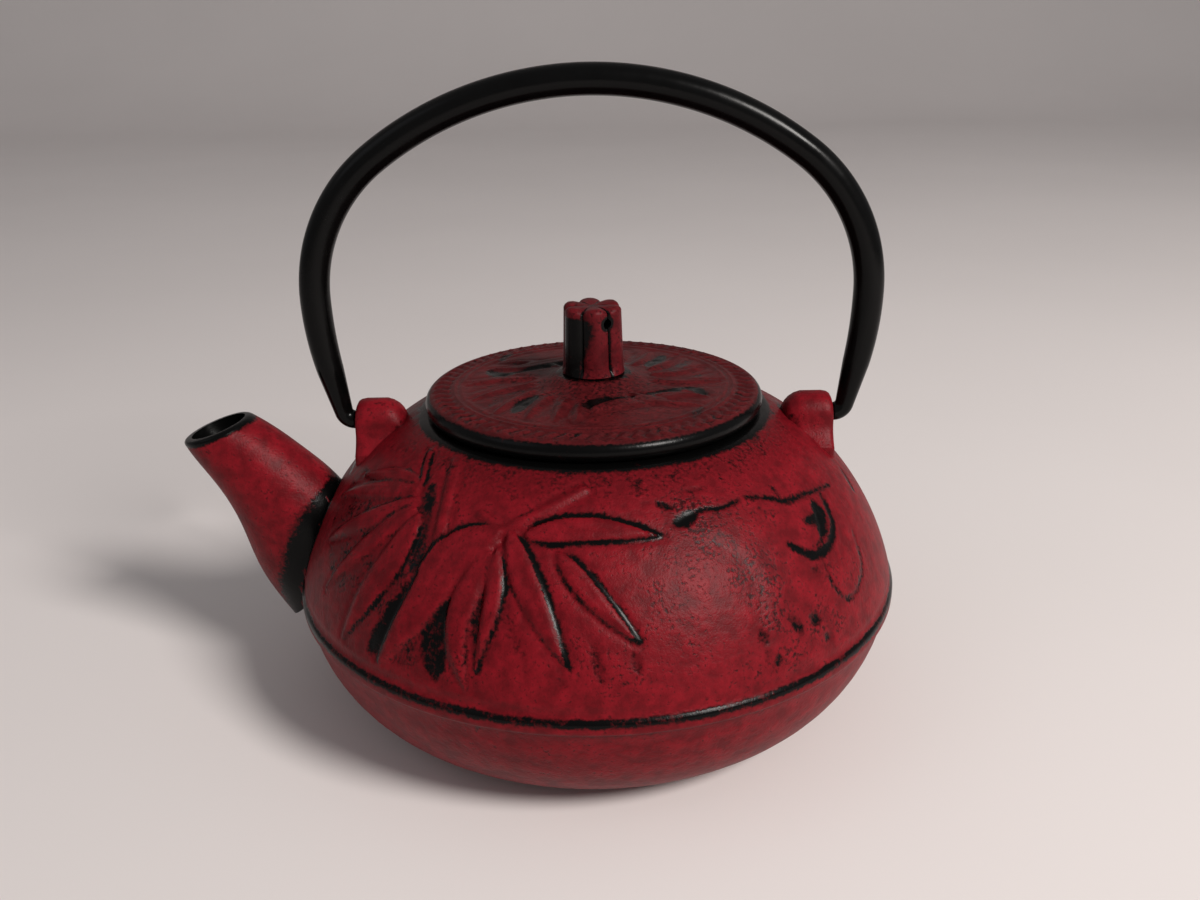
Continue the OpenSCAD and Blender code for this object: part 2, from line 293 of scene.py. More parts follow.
# The spout's channel and the two blind bores for the bail's pins
BORE_R = 1.62
BORE_DEPTH = 6.8
CHANNEL = [
    ((-70.4, 60.8), (-80.8, 57.2), 5.6),
    ((-69.2, 56.7), (-79.6, 53.2), 5.6),
    ((-64.2, 52.0), (-74.4, 46.2), 5.3),
    ((-60.0, 48.2), (-71.2, 41.2), 5.8),
    ((-54.8, 42.2), (-67.2, 33.2), 6.3),
    ((-48.5, 36.0), (-52.5, 25.5), 5.6),
]
channel = lofted("channel", CHANNEL, 24)
finish_with(channel, "SUBSURF", levels=1, render_levels=1)
cap_ends(channel)
for side in (1, -1):
    bpy.ops.mesh.primitive_cylinder_add(
        vertices=32, radius=BORE_R * MM, depth=(BORE_DEPTH + 2) * MM, rotation=(0, math.pi / 2, 0),
        location=(side * (EAR_X[1] - BORE_DEPTH / 2 + 1) * MM, 0, PIVOT_Z * MM),
    )
    bore = take("bore")
    choose(channel, bore)
    bpy.ops.object.join()
channel_surface = surface_of(channel)
combine(pot, channel, "DIFFERENCE")

# The relief: low bamboo sprays and twigs stand on the shoulder, on a finer mesh
RELIEF = 0.55


def places(piece):
    """The vertices' places in mm, as an array that can be worked on."""
    found = np.empty(len(piece.data.vertices) * 3)
    piece.data.vertices.foreach_get("co", found)
    return found.reshape(-1, 3) / MM


def move_to(piece, found):
    piece.data.vertices.foreach_set("co", (found * MM).ravel())
    piece.data.update()


def smooth(low, high, value):
    t = np.clip((value - low) / (high - low), 0, 1)
    return t * t * (3 - 2 * t)


def write_attribute(piece, name, values):
    attribute = piece.data.attributes.new(name, "FLOAT", "POINT")
    attribute.data.foreach_set("value", np.clip(values, 0, 1).astype(np.float32))


def dome_depth(found):
    """How far places lie inside the shoulder's skin, in mm."""
    radius = np.hypot(found[:, 0], found[:, 1])
    return DOME[2] - np.hypot(radius - DOME[0], found[:, 2] - DOME[1])


def on_shoulder(place, normal):
    depth = DOME[2] - math.hypot(math.hypot(place.x, place.y) - DOME[0], place.z - DOME[1])
    return abs(depth) < 0.05 and CARVED_Z < place.z < RIM_Z - 0.3


edit(pot)
pick(pot, "polygons", on_shoulder)
bpy.ops.mesh.subdivide(number_cuts=2)
bpy.ops.object.mode_set(mode="OBJECT")

skin = places(pot)
outward = np.stack([skin[:, 0], skin[:, 1], np.zeros(len(skin))], axis=1)
outward /= np.maximum(np.linalg.norm(outward, axis=1), 1e-6)[:, None]
radius = np.hypot(skin[:, 0], skin[:, 1])
outward *= (radius - DOME[0])[:, None]
outward[:, 2] = skin[:, 2] - DOME[1]
outward /= np.maximum(np.linalg.norm(outward, axis=1), 1e-6)[:, None]
depth = dome_depth(skin)
shoulder = (np.abs(depth) < 0.06) & (radius > DOME[0])
shoulder &= (skin[:, 2] > CARVED_Z) & (skin[:, 2] < RIM_Z - 0.1)
skin[shoulder] += outward[shoulder] * depth[shoulder][:, None]


def at(turn, height):
    """A place on the shoulder, by its turn from the front in degrees and its height in mm."""
    reach = DOME[0] + math.sqrt(DOME[2] ** 2 - (height - DOME[1]) ** 2)
    turn = math.radians(turn)
    return np.array([reach * math.sin(turn), -reach * math.cos(turn), height])


class Relief:
    """The rise and the black paint of a carved field, built up stroke by stroke."""

    def __init__(self, found, normals):
        self.found = found
        self.normals = normals
        self.rise = np.zeros(len(found))
        self.ink_and_shade = np.zeros(len(found))

    def track(self, points):
        """Share of the way along a curved stroke and the offset to its right, for every place."""
        points = [np.array(p, dtype=float) for p in points]
        ends = [2 * points[0] - points[1]] + points + [2 * points[-1] - points[-2]]
        path = []
        for a, b, c, d in zip(ends, ends[1:], ends[2:], ends[3:]):
            for t in np.linspace(0, 1, 9)[:-1]:
                cubic = 2 * a - 5 * b + 4 * c - d + t * (3 * (b - c) + d - a)
                path.append(b + 0.5 * t * (c - a + t * cubic))
        path.append(points[-1])
        lengths = [np.linalg.norm(b - a) for a, b in zip(path, path[1:])]
        total = sum(lengths)
        best = np.full(len(self.found), 1e9)
        share = np.zeros(len(self.found))
        side = np.zeros(len(self.found))
        done = 0.0
        for start, end, length in zip(path, path[1:], lengths):
            along = (end - start) / length
            offset = self.found - start
            reach = np.clip(offset @ along, 0, length)
            gap = np.linalg.norm(offset - reach[:, None] * along, axis=1)
            nearer = gap < best
            best[nearer] = gap[nearer]
            share[nearer] = (done + reach[nearer]) / total
            across = np.cross(along, self.normals[nearer])
            side[nearer] = np.einsum("ij,ij->i", across, offset[nearer])
            done += length
        return share, np.where(side > 0, best, -best)

    def lay(self, edge, height, ink_and_shade):
        """Lay a body over the field. edge is the distance inside its outline, in mm."""
        cover = smooth(-0.45, 0.75, edge)
        moat = -0.16 * np.exp(-(((edge + 0.8) / 0.6) ** 2))
        self.rise = self.rise * (1 - cover) + height * cover + moat * (1 - cover)
        self.ink_and_shade = np.maximum(self.ink_and_shade * (1 - cover), ink_and_shade)

    def leaf(self, points, half_width, right=0.7, left=0.7, height=RELIEF):
        """A long leaf. right and left say how black, and so how wide, the paint lies along its edges."""
        share, across = self.track(points)
        half = half_width * 2.68 * share**0.55 * (1 - share) ** 0.95
        edge = half - np.abs(across)
        crown = height * (1 - 0.35 * np.clip(np.abs(across) / np.maximum(half, 0.2), 0, 1))
        midrib = 0.14 * np.exp(-((across / 0.5) ** 2)) * smooth(0.9, 1.9, half)
        black = np.where(across > 0, right, left)
        width = np.where(edge < 0.1, 0.3 + 0.65 * black, 0.4)
        fade = smooth(0, 0.1, share) * 0.7 + 0.3
        self.lay(edge, crown - midrib, black * fade * np.exp(-(((edge + 0.2) / width) ** 2)))

    def stem(self, points, half_width=0.55, black=0.5, height=0.4):
        """A thin round stem."""
        share, across = self.track(points)
        edge = half_width - np.abs(across)
        self.lay(edge, height, black * np.exp(-(((edge + 0.35) / 0.5) ** 2)))

    def hollow(self, points, half_width, black=1.0):
        """Bare ground, left black and a little sunk unless it is a broad patch."""
        share, across = self.track(points)
        half = half_width * (0.35 + 1.3 * np.sqrt(share * (1 - share)))
        edge = half - np.abs(across)
        self.rise -= 0.15 * smooth(-0.4, 0.9, edge) * (half_width < 3)
        self.ink_and_shade = np.maximum(self.ink_and_shade, black * smooth(-1.3, 0.9, edge))


relief = Relief(skin[shoulder], outward[shoulder])


def spots_from(shift):
    """A way to give places on the shoulder as pairs of turn and height, from a turn of shift."""
    return lambda *pairs: [at(shift + turn, height) for turn, height in pairs]


def bamboo(shift):
    """Two sprays of leaves that hang from the joints of a thin cane."""
    spots = spots_from(shift)
    relief.hollow(spots((-74, 49), (-60, 44), (-50, 38)), 8.0, 0.42)
    relief.hollow(spots((-44, 46), (-36, 38), (-30, 31)), 6.5, 0.36)
    relief.hollow(spots((-44, 54), (-39, 48), (-36, 42.5)), 1.9, 0.62)
    relief.hollow(spots((-43, 50), (-50, 46), (-57, 40)), 1.5, 0.55)
    relief.hollow(spots((-35.5, 42), (-38, 36.5), (-41.5, 30)), 2.2, 0.8)
    relief.hollow(spots((-31, 37), (-33, 33), (-36, 30)), 1.2, 0.4)
    relief.hollow(spots((-26.8, 41), (-28.6, 36), (-27.2, 30)), 2.7, 0.74)
    relief.hollow(spots((-22.8, 47.5), (-21.2, 42), (-20.3, 34)), 1.2, 0.6)
    relief.hollow(spots((-18, 45), (-15.5, 40), (-12, 35)), 1.2, 0.35)
    relief.stem(spots((-43, 57.4), (-37, 53), (-34, 48), (-35, 44.5)), 1.0, 0.35, 0.45)
    relief.stem(spots((-55, 57), (-48, 54)), 0.5, 0.8)
    relief.leaf(spots((-47, 53.4), (-58, 53), (-72, 50)), 1.6, 0.5, 0.55)
    relief.leaf(spots((-47, 52.8), (-60, 50.5), (-76, 45)), 1.7, 0.55, 0.45)
    relief.leaf(spots((-45, 52), (-55, 47.5), (-68, 40)), 1.8, 0.6, 0.45)
    relief.leaf(spots((-44, 51), (-52, 44), (-60, 34)), 1.9, 0.55, 0.45)
    relief.leaf(spots((-42, 50.5), (-43.5, 43), (-50, 28.5)), 2.9, 0.3, 0.75)
    relief.stem(spots((-20, 51), (-26.5, 52.4)), 0.6, 0.3)
    relief.stem(spots((-20, 51), (-12, 53.8), (-3, 56.2)), 0.75, 0.3)
    relief.leaf(spots((-20.5, 51), (-29.5, 47), (-33, 39.5), (-39.5, 28)), 3.7, 0.85, 0.25)
    relief.leaf(spots((-21.5, 48.5), (-24.5, 41), (-24, 35), (-21, 28.5)), 2.2, 0.3, 0.5)
    relief.leaf(spots((-20, 49), (-18.8, 42), (-20, 32.5)), 1.5, 0.45, 0.8)
    relief.leaf(spots((-18.5, 51), (-13, 45), (-5, 34.3)), 2.2, 0.45, 0.9)
    relief.leaf(spots((-7.5, 49), (-0.5, 43.6), (6.8, 37.4)), 1.7, 0.6, 0.85)
    relief.leaf(spots((-15, 50.8), (-2, 51.9), (13.5, 50.6)), 2.2, 0.8, 0.95)
    relief.hollow(spots((-0.6, 37.6), (0.2, 34), (0.8, 32)), 0.9, 0.5)
    relief.hollow(spots((-6.5, 32.4), (-5, 31.4)), 0.7, 0.45)
    relief.hollow(spots((-12, 34), (-11, 33)), 0.6, 0.35)
    relief.hollow(spots((5.8, 36), (6.6, 33.2)), 0.9, 0.55)


def twig(shift):
    """A bare twig with a few buds, two drooping shoots and the edge of a low round stone."""
    spots = spots_from(shift)
    share, across = relief.track(spots((18, 50), (27, 48.5), (31.5, 43), (30, 35), (30.5, 29)))
    relief.rise += 0.28 * smooth(1.6, -1.6, across) * smooth(-14, -4, across) * smooth(0, 0.2, share)
    relief.ink_and_shade = np.maximum(relief.ink_and_shade, 0.34 * np.exp(-(((across - 1) / 1.3) ** 2)) * smooth(0, 0.15, share))
    relief.hollow(spots((18, 51.8), (24, 52.6), (29.4, 52.4), (35, 52.6)), 0.42, 0.85)
    relief.hollow(spots((37, 52.8), (43, 51.7), (47, 50.5), (53, 50), (59, 49.4), (66, 48.4)), 0.42, 0.9)
    relief.hollow(spots((47, 50.6), (46, 53)), 0.4, 0.6)
    shoot = spots((60, 48.6), (57.6, 45), (53.5, 42.9), (49.7, 42.3), (45.5, 42.8), (41, 45.6))
    relief.hollow(shoot, 0.72, 1.0)
    relief.hollow(spots((54.5, 48), (53, 45.4), (50, 43.6), (47.5, 43.6)), 0.4, 0.7)
    relief.hollow(spots((63, 41.5), (59.5, 36), (54.4, 34), (50.5, 34.2), (48.3, 37), (48, 41.4)), 0.45, 0.66)
    relief.hollow(spots((55.5, 48.4), (54.6, 46.2), (51.6, 44.4)), 1.4, 1.0)
    relief.hollow(spots((49.6, 47), (54.6, 46.2)), 1.0, 1.0)
    relief.hollow(spots((17.4, 51.6), (22.5, 52.4)), 1.2, 1.0)
    relief.hollow(spots((14.6, 54.4), (17.8, 53.4)), 0.6, 0.75)
    relief.hollow(spots((22, 55), (27.5, 55)), 0.5, 0.6)
    relief.hollow(spots((39.8, 35), (41.6, 33.6)), 1.2, 0.75)
    relief.hollow(spots((35.4, 36.3), (36.8, 33.2)), 1.0, 0.65)
    relief.hollow(spots((28.5, 35.8), (29.5, 33.6)), 0.9, 0.65)
    relief.hollow(spots((44, 41), (46, 40)), 0.9, 0.6)
    relief.hollow(spots((42, 31), (44, 30)), 0.9, 0.6)
    relief.hollow(spots((31, 31.4), (30.6, 29.8)), 0.6, 0.7)
    relief.hollow(spots((77, 44), (81, 47.4)), 0.7, 0.7)


# The front's carving stands on the far side again
for shift in (0, 180):
    bamboo(shift)
    twig(shift)



def gaps(found, surface):
    """How far each place is from a surface, in mm."""
    return np.array([surface.find_nearest(Vector(place * MM))[3] for place in found]) / MM


# Nothing is carved against the lip, the rim, the ears or the spout
seam = gaps(relief.found, added_surface)
clear = smooth(0.6, 2.2, seam) * smooth(CARVED_Z + 0.1, CARVED_Z + 1.3, relief.found[:, 2])
clear *= smooth(RIM_Z - 0.6, RIM_Z - 1.8, relief.found[:, 2])
carved = relief.found + outward[shoulder] * (relief.rise * clear)[:, None]
skin[shoulder] = carved
move_to(pot, skin)

# Black paint: in the crevices round the spout and ears, in the carving, under the lip, at the rim and all
# over the inside; worn patches are speckled with it. Painted shade is laid into the same attribute: under the
# lip, on the shoulder below the lid, deeper in the spout's seam on the camera's side, and on the ears' inner
# sides.
ink_and_shade = np.zeros(len(skin))
worn = np.zeros(len(skin))
ink_and_shade[shoulder] = relief.ink_and_shade * clear
# The seam's black is partly black paint and partly painted shade: wider low on the spout, where its root
# stands off the body, stronger on the camera's side, and on the ears' inner sides towards the lid.
by_spout = skin[:, 0] < -46.8 - 0.1 * np.abs(skin[:, 1])
low_on_spout = by_spout * smooth(48, 36, skin[:, 2]) * smooth(12, 20, skin[:, 2])
at_seam = np.zeros(len(skin))
at_seam[shoulder] = smooth(2.4 + 2.6 * low_on_spout[shoulder], 0.8 + low_on_spout[shoulder], seam)
proud = (depth < -0.08) & (skin[:, 2] < 57)
at_seam[proud] = smooth(-2.8, -0.7, depth[proud] / (1 + 1.7 * low_on_spout[proud]))
spout_seam_paint_and_shade = 0.4 + 0.6 * smooth(6, -4, skin[:, 1])
ear_seam_paint_and_shade = 0.08 + 0.34 * smooth(41, 38.5, radius)
ink_and_shade = np.maximum(ink_and_shade, at_seam * np.where(by_spout, spout_seam_paint_and_shade, ear_seam_paint_and_shade))
inside = (depth > 1.0) & (skin[:, 2] > 24) | (radius < 29.8) & (skin[:, 2] > 50)
bowl_depth = BOWL[2] - np.hypot(np.maximum(radius - BOWL[0], 0), skin[:, 2] - BOWL[1])
inside |= (bowl_depth > 2) & (skin[:, 2] > 2) & (skin[:, 2] < 24.5)
ink_and_shade[inside] = 1
rim = (skin[:, 2] > RIM_Z - 7) & (depth > -0.3)
rim_ink_and_shade = 0.62 * smooth(RIM_Z - 0.8, RIM_Z - 0.15, skin[rim, 2])
# Painted shade: the shoulder darkens over 7 mm below the rim, where the lid's shade falls.
rim_ink_and_shade += 0.38 * smooth(RIM_Z - 7, RIM_Z - 1, skin[rim, 2])
ink_and_shade[rim] = np.maximum(ink_and_shade[rim], rim_ink_and_shade)
lip = (np.abs(skin[:, 2] - 24.5) < 3) & (radius > 56) & (skin[:, 0] > -58)
lip_edge = smooth(24.5, 25.0, skin[lip, 2]) * smooth(26.6, 25.9, skin[lip, 2])
# Painted shade: a thin dark band under the lip's overhang, at 23 mm, besides the black paint on the lip's
# edge.
ink_and_shade[lip] = np.maximum(ink_and_shade[lip], 0.75 * lip_edge + 0.5 * np.exp(-(((skin[lip, 2] - 23.0) / 0.4) ** 2)))
spouting = np.where((skin[:, 0] < -47) & (skin[:, 2] > 20))[0]
in_channel = smooth(0.3, 0.05, gaps(skin[spouting], channel_surface))
at_rim = smooth(-1.5, -0.7, (skin[spouting] - np.array(mouth_middle)) @ np.array(mouth_normal))
ink_and_shade[spouting] = np.maximum(ink_and_shade[spouting], np.maximum(in_channel, at_rim))
ink_and_shade[skin[:, 2] < 0.9] = 1
write_attribute(pot, "ink_and_shade", ink_and_shade)

# Worn speckle: round the front of the shoulder the daubed red has rubbed thin
for turn, height, size, amount in (
    (25, 50.5, 7, 1.0), (31, 44, 7, 0.95), (33, 37, 5, 0.8), (17, 49, 6, 0.7), (13, 42, 6, 0.6),
    (21, 53.5, 4.5, 0.9), (38, 51, 5, 0.6), (41, 34, 4, 0.8), (46, 32.5, 3.5, 0.6), (34, 31, 4, 0.5),
    (48, 40, 4, 0.5), (56, 36, 5, 0.4), (5, 34, 5, 0.45), (-3, 36, 4, 0.4), (-25, 33, 5, 0.5),
    (26, 30, 4, 0.4), (16, 36, 5, 0.35),
    (204, 48, 6, 0.8), (214, 40, 5, 0.6), (165, 35, 6, 0.4),
):
    gap = np.linalg.norm(skin - at(turn, height), axis=1)
    worn = np.maximum(worn, amount * smooth(size * 1.3, size * 0.3, gap))
write_attribute(pot, "worn", worn)


def paint(code):
    """An sRGB hex colour as the linear colour that a shader takes."""
    parts = [int(code[i:i + 2], 16) / 255 for i in (1, 3, 5)]
    return [c / 12.92 if c <= 0.04045 else ((c + 0.055) / 1.055) ** 2.4 for c in parts] + [1.0]


def add_node(tree, kind, inputs=(), **settings):
    """A node with its settings, and its inputs as plain values or sockets to link from."""
    node = tree.nodes.new("ShaderNode" + kind)
    for key, value in settings.items():
        setattr(node, key, value)
    for key, value in dict(inputs).items():
        if isinstance(value, bpy.types.NodeSocket):
            tree.links.new(value, node.inputs[key])
        else:
            node.inputs[key].default_value = value
    return node


def new_material(name):
    """A material with its tree, its shader and its object coordinates."""
    material = bpy.data.materials.new(name)
    material.use_nodes = True
    tree = material.node_tree
    shader = tree.nodes["Principled BSDF"]
    coordinates = add_node(tree, "TexCoord").outputs["Object"]
    return material, tree, shader, coordinates


def sponged_enamel(name, light, deep):
    """Red enamel dabbed with a sponge over a black coat, on cast iron as grainy as its
    sand mould, about 0.4 mm. The red is nearly matt and mottled in soft patches of 3 mm.
    The black is glossier, in flecks of 0.7 mm where the red is thin, and whole in crevices."""
    # The ink_and_shade attribute carries black paint and painted shade alike, and both turn the surface black
    # here.
    material, tree, shader, coordinates = new_material(name)
    ink_and_shade = add_node(tree, "Attribute", attribute_name="ink_and_shade").outputs["Fac"]
    worn = add_node(tree, "Attribute", attribute_name="worn").outputs["Fac"]
    dab = add_node(
        tree, "TexNoise", {"Vector": coordinates, "Scale": 330, "Detail": 4, "Roughness": 0.6},
    ).outputs["Fac"]
    fleck = add_node(
        tree, "TexNoise", {"Vector": coordinates, "Scale": 1500, "Detail": 3, "Roughness": 0.55},
    ).outputs["Fac"]
    grit = add_node(
        tree, "TexNoise", {"Vector": coordinates, "Scale": 2600, "Detail": 2, "Roughness": 0.6},
    ).outputs["Fac"]
    mottle = add_node(tree, "MapRange", {0: dab, 1: 0.36, 2: 0.64, 3: 0.0, 4: 1.0}).outputs[0]
    red = add_node(
        tree, "Mix", {0: mottle, 6: paint(deep), 7: paint(light)}, data_type="RGBA",
    ).outputs[2]
    ragged = add_node(tree, "Math", {0: fleck, 1: 0.9, 2: ink_and_shade}, operation="MULTIPLY_ADD").outputs[0]
    ragged = add_node(tree, "Math", {0: dab, 1: 1.2, 2: ragged}, operation="MULTIPLY_ADD").outputs[0]
    crevice = add_node(
        tree, "MapRange", {0: ragged, 1: 1.23, 2: 1.8, 3: 0.0, 4: 1.0}, interpolation_type="SMOOTHSTEP",
    ).outputs[0]
    thin = add_node(tree, "Math", {0: dab, 1: 0.5, 2: fleck}, operation="MULTIPLY_ADD").outputs[0]
    rubbed = add_node(tree, "Math", {0: worn, 1: 0.18, 2: thin}, operation="MULTIPLY_ADD").outputs[0]
    specks = add_node(
        tree, "MapRange", {0: rubbed, 1: 0.81, 2: 1.1, 3: 0.0, 4: 0.85}, interpolation_type="SMOOTHSTEP",
    ).outputs[0]
    bare_black_and_shade = add_node(tree, "Math", {0: crevice, 1: specks}, operation="MAXIMUM").outputs[0]
    tree.links.new(
        add_node(tree, "Mix", {0: bare_black_and_shade, 6: red, 7: paint("#050505")}, data_type="RGBA").outputs[2],
        shader.inputs["Base Color"],
    )
    tree.links.new(
        add_node(tree, "MapRange", {0: crevice, 1: 0.0, 2: 1.0, 3: 0.44, 4: 0.25}).outputs[0],
        shader.inputs["Roughness"],
    )
    height = add_node(tree, "Math", {0: mottle, 1: 1.4, 2: grit}, operation="MULTIPLY_ADD").outputs[0]
    coated = add_node(tree, "MapRange", {0: bare_black_and_shade, 1: 0.0, 2: 1.0, 3: 1.0, 4: 0.3}).outputs[0]
    height = add_node(tree, "Math", {0: height, 1: coated}, operation="MULTIPLY").outputs[0]
    bump = add_node(tree, "Bump", {"Strength": 0.5, "Distance": 0.00009, "Height": height})
    tree.links.new(bump.outputs[0], shader.inputs["Normal"])
    shader.inputs["IOR"].default_value = 1.5
    shader.inputs["Specular IOR Level"].default_value = 0.11
    return material


def dress(piece, material, body, slot, *nodes):
    """Give a finished piece its finish, smooth shading and body, and hide the nodes it stands for; slot is
    not used.
    """
    choose(piece)
    bpy.ops.object.shade_smooth_by_angle(angle=math.radians(40))
    piece.data.materials.clear()
    piece.data.materials.append(material)
    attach(piece, body)
    if nodes:
        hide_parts(*nodes)


dress(pot, sponged_enamel("pot_sponged_enamel", "#7a0f1a", "#590911"), "pot", "red_iron", "pot_body")


# ---------------------------------------------------------------------------
# Lid: a cast iron plate with a rolled edge and a locating flange below it. Its
# top carries low carving dabbed red like the pot; edge and underside stay black
# and glossy. A hole in the low mound in its middle takes the knob's tenon.
# ---------------------------------------------------------------------------
LID_R = 32.5
LID_TOP = 62.4
BOSS_Z = 65.0
PLATE_Z = 63.38
edge_roll = (LID_R - 1.95, LID_TOP - 1.95, 1.95)
section = [(2.56, 58.6), (2.56, 64.8), (2.76, BOSS_Z), (4.5, BOSS_Z), (6.4, BOSS_Z), (7.2, 64.85), (8, 64.5)]
section += [(8.8, 64.1), (9.6, 63.8), (10.4, 63.6), (11.2, 63.47), (12, PLATE_Z)]
section += [(12 + (edge_roll[0] - 12) * i / 46, PLATE_Z - (PLATE_Z - LID_TOP) * i / 46) for i in range(1, 46)]
section += arc(edge_roll, 90, -90, 14)
section += [(25.2, 58.5), (24.7, 58.1), (24.7, 53.9), (24.4, 53.5), (23, 53.5), (22.7, 53.9)]
section += [(22.7, 58.1), (22.3, 58.5), (12, 58.5), (2.7, 58.5), (2.56, 58.6)]
lid = turned("lid_plate", section, 400)
top = places(lid)
on_top = top[:, 2] > LID_TOP - 0.02
carving = Relief(top[on_top], np.tile((0.0, 0.0, 1.0), (int(on_top.sum()), 1)))


def on_lid(x, y):
    return np.array([x, y, PLATE_Z - (math.hypot(x, y) - 12) * 0.053])


# A fan of needles on the spout's side, a long leaf on the other, and both again behind
for way in (1, -1):
    def marks(*pairs):
        return [on_lid(way * x, way * y) for x, y in pairs]

    for pairs, size, black in (
        (((-12, 3.5), (-18, 4.5), (-24.5, 3)), 0.9, 0.32),
        (((-12.5, -0.5), (-18, -1.5), (-23.5, -5)), 1.0, 0.36),
        (((-12, -4.5), (-16, -7.5), (-20, -14)), 1.2, 0.48),
        (((-10.8, -9), (-12.8, -12.4), (-14.4, -16.6)), 1.2, 1.0),
        (((-6.5, -10), (-7.4, -13.5), (-8.8, -19)), 1.0, 0.4),
        (((-3.6, -12.5), (-4.2, -16), (-5, -20.5)), 0.9, 0.34),
        (((-0.4, -16.5), (-0.7, -19), (-0.8, -21)), 0.6, 0.28),
    ):
        carving.hollow(marks(*pairs), size, black)
    for pairs in (
        ((-11.5, 1.5), (-18, 1.6), (-24.5, 0)), ((-11.5, -2.5), (-17, -4.5), (-22.5, -9)),
        ((-11, -6), (-14.5, -10.5), (-18, -17)), ((-8, -9), (-10.3, -14), (-12, -20)),
        ((-5, -11.5), (-6, -16), (-7, -21.5)), ((-2.2, -13.5), (-2.6, -17), (-3, -22)),
    ):
        carving.leaf(marks(*pairs), 1.0, 0.25, 0.25, 0.35)
    carving.leaf(marks((-0.5, -16.8), (8, -12.8), (15.5, -9.2), (21, -9.4)), 2.3, 0.4, 0.2, 0.4)
    carving.hollow(marks((1.5, -12.4), (8.6, -10.1), (13.4, -7.3), (17.8, -4.8)), 0.75, 1.0)
    carving.hollow(marks((-1.8, -15.6), (0.5, -13.2), (2.8, -11.6)), 1.4, 1.0)
    carving.hollow(marks((17.6, -4.8), (19.4, -6), (21, -8.4)), 1.1, 1.0)
    carving.hollow(marks((12, 12.4), (13.2, 13.6)), 0.9, 0.7)
    carving.hollow(marks((-19.4, 15.6), (-17.5, 21)), 1.0, 0.6)
    carving.leaf(marks((-7, 9), (-12, 13), (-19.5, 14)), 1.2, 0.3, 0.45, 0.35)
turn = np.arctan2(carving.found[:, 1], carving.found[:, 0])
reach = np.hypot(carving.found[:, 0], carving.found[:, 1])
band = smooth(27.4, 28.2, reach) * smooth(32.0, 30.8, reach)
strokes = np.cos(72 * turn + 1.3 * np.sin(2.2 * (reach - 29)) + 0.8 * np.sin(5 * turn))
carving.rise += 0.2 * strokes * band
carving.ink_and_shade = np.maximum(carving.ink_and_shade, band * smooth(0.2, -0.9, strokes) * 0.48)
for ring in (25.5, 26.9):
    carving.rise += 0.25 * np.exp(-(((reach - ring) / 0.4) ** 2))
    carving.ink_and_shade = np.maximum(carving.ink_and_shade, 0.42 * np.exp(-(((reach - ring - 0.7) / 0.35) ** 2)))
carving.rise *= smooth(8.2, 9.5, reach)
top[on_top, 2] += carving.rise
lid_ink = np.zeros(len(top))
lid_ink[on_top] = carving.ink_and_shade
lid_reach = np.hypot(top[:, 0], top[:, 1])
lid_ink = np.maximum(lid_ink, smooth(31.2, 32.2, lid_reach))
lid_ink[top[:, 2] < 61.2] = 1
lid_ink = np.maximum(lid_ink, 0.6 * smooth(8.2, 6.6, lid_reach))
lid_worn = 0.5 * smooth(24, 10, lid_reach) + 0.3
move_to(lid, top)
write_attribute(lid, "ink_and_shade", lid_ink)
write_attribute(lid, "worn", lid_worn)
# The lid's reds are darker than the pot's: painted shade for its flat top, which takes less of the key lamp.
dress(lid, sponged_enamel("lid_enamel_darkened_as_shade", "#5c161a", "#3f0e11"), "lid_with_knob", "red_iron", "lid")


# ---------------------------------------------------------------------------
# Knob: a little iron casting with six lobes and a scalloped top, pierced by a
# steam hole. Its tenon goes down through the lid and is peened over a washer.
# ---------------------------------------------------------------------------
HOLE_TURN = math.radians(32)
HOLE_Z = 75.5
section = [(0, 56.2), (2.2, 56.2), (3.3, 56.5), (3.6, 56.9), (3.6, 57.4), (3.5, 57.5), (2.5, 57.5)]
section += [(2.5, BOSS_Z + 0.3), (3, BOSS_Z), (5.7, BOSS_Z), (6.1, BOSS_Z + 0.35)]
section += [(6.1 - 0.4 * i / 30, BOSS_Z + 0.35 + 12.25 * i / 30) for i in range(1, 31)]
section += [(5.5, 78.0), (5.1, 78.3), (4.5, 78.4), (3, 78.3), (1.6, 78.0), (0, 77.9)]
knob = turned("knob_casting", section, 192)


def lobes(found):
    """Each place's turn about the knob, and its share of the way out from a groove to a lobe's crest."""
    spoke = np.arctan2(found[:, 1], found[:, 0])
    return spoke, np.abs(np.cos(3 * (spoke + math.radians(83)))) ** 0.55


shape = places(knob)
spoke, lobe = lobes(shape)
reach = np.hypot(shape[:, 0], shape[:, 1])
standing = (shape[:, 2] > BOSS_Z - 0.1) & (reach > 2.6)
squeeze = 0.2 * (1 - lobe) * smooth(2.6, 4.5, reach) * smooth(BOSS_Z, BOSS_Z + 2, shape[:, 2])
squeeze = np.where(standing, 1 - squeeze, 1)
shape[:, 0] *= squeeze
shape[:, 1] *= squeeze
crowned = smooth(77.0, 78.1, shape[:, 2])
shape[:, 2] -= crowned * 0.9 * (1 - lobe) * smooth(1.5, 4.5, reach)
move_to(knob, shape)
clear_selection()
bpy.ops.mesh.primitive_cylinder_add(
    vertices=32, radius=0.95 * MM, depth=20 * MM, location=(0, 0, HOLE_Z * MM),
    rotation=(math.pi / 2, 0, HOLE_TURN),
)
hole = take("steam_hole")
combine(knob, hole, "DIFFERENCE")
shape = places(knob)
spoke, lobe = lobes(shape)
axis = np.array([math.sin(HOLE_TURN), -math.cos(HOLE_TURN)])
beside = np.hypot(shape[:, 0] * axis[1] - shape[:, 1] * axis[0], shape[:, 2] - HOLE_Z)
